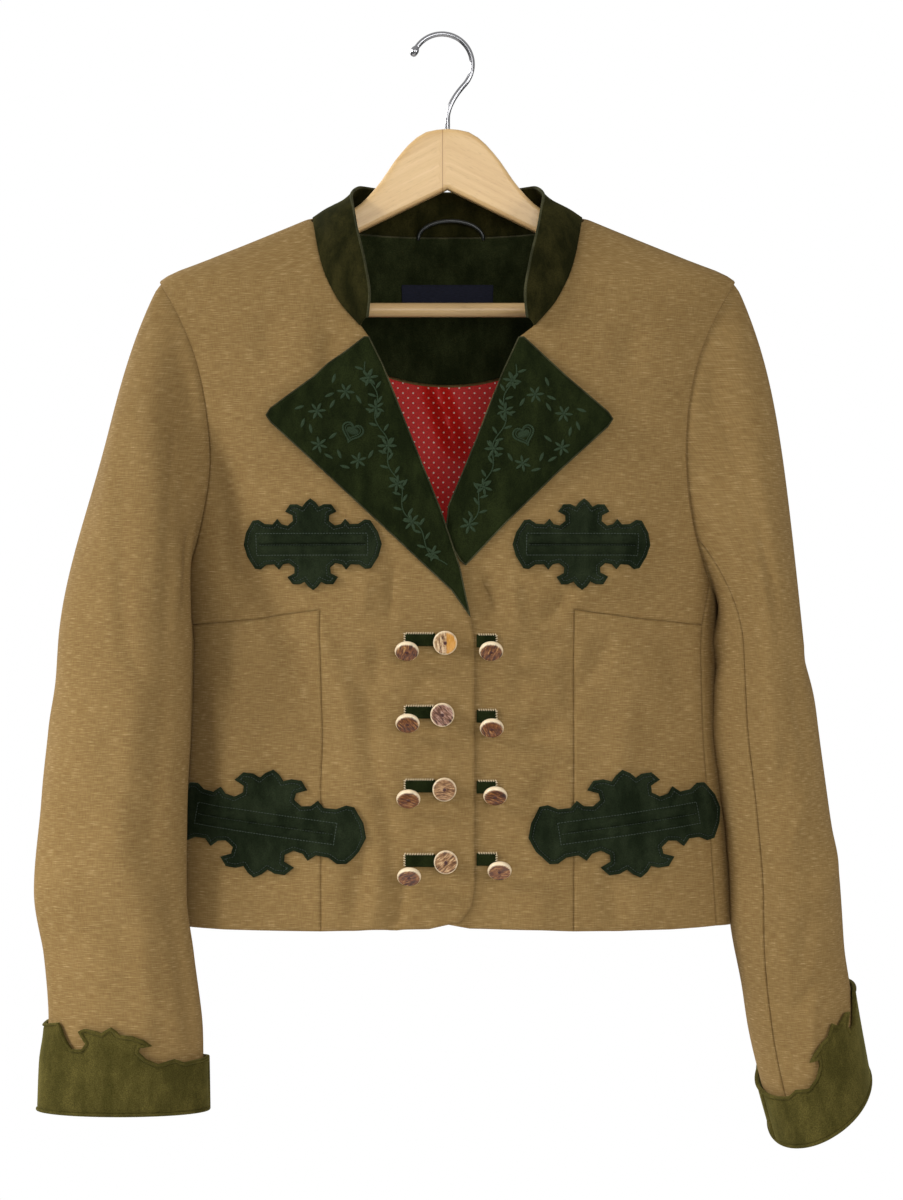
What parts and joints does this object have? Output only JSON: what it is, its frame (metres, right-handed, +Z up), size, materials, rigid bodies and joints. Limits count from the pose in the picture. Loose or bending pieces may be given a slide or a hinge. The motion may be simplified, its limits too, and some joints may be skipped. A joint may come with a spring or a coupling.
{
  "type": "trachten jacket on a wooden hanger",
  "caption": "Short khaki linen trachten jacket with green velvet collar, lapels, cuffs and pocket appliques and horn buttons, on a wooden hanger",
  "frame": {"origin": "the underside of the top of the hanger's hook, where a rail holds it up", "axes": "+Z up, the jacket's front faces -Y, +X towards the wearer's left sleeve"},
  "size_m": [0.6014, 0.1545, 0.8062],
  "materials": {
    "linen": "coarse khaki linen canvas, matt, with slubs across",
    "dark_velvet": "dark green velvet with a soft nap",
    "cuff_velvet": "olive green velvet with a soft nap",
    "applique_velvet": "dark blue-green velvet, edged with cord",
    "lining": "red lining with small white pin dots, slight sheen",
    "label": "woven navy label, left bare",
    "horn": "antler slice, pale rim and brown grain, half polished",
    "beech": "pale beech, clear varnish",
    "steel": "polished wire"
  },
  "bodies": {
    "root": {"front_right": "linen", "front_left": "linen", "side_front_right": "linen", "side_front_left": "linen", "side_panel_right": "linen", "side_panel_left": "linen", "back": "linen", "top_sleeve_right": "linen", "under_sleeve_right": "linen", "top_sleeve_left": "linen", "under_sleeve_left": "linen", "collar": "dark_velvet", "lapel_right": "dark_velvet", "lapel_left": "dark_velvet", "back_facing": "dark_velvet", "hang_loop": "dark_velvet", "tab_right_1": "dark_velvet", "tab_right_2": "dark_velvet", "tab_right_3": "dark_velvet", "tab_right_4": "dark_velvet", "tab_left_1": "dark_velvet", "tab_left_2": "dark_velvet", "tab_left_3": "dark_velvet", "tab_left_4": "dark_velvet", "cuff_right": "cuff_velvet", "cuff_left": "cuff_velvet", "pocket_upper_right": "applique_velvet", "pocket_upper_left": "applique_velvet", "pocket_lower_right": "applique_velvet", "pocket_lower_left": "applique_velvet", "lining_back": "lining", "label": "label", "button_centre_1": "horn", "button_centre_2": "horn", "button_centre_3": "horn", "button_centre_4": "horn", "button_right_1": "horn", "button_right_2": "horn", "button_right_3": "horn", "button_right_4": "horn", "button_left_1": "horn", "button_left_2": "horn", "button_left_3": "horn", "button_left_4": "horn", "hanger_wood": "beech", "hanger_bar": "beech", "hanger_hook": "steel"}
  },
  "joints": []
}
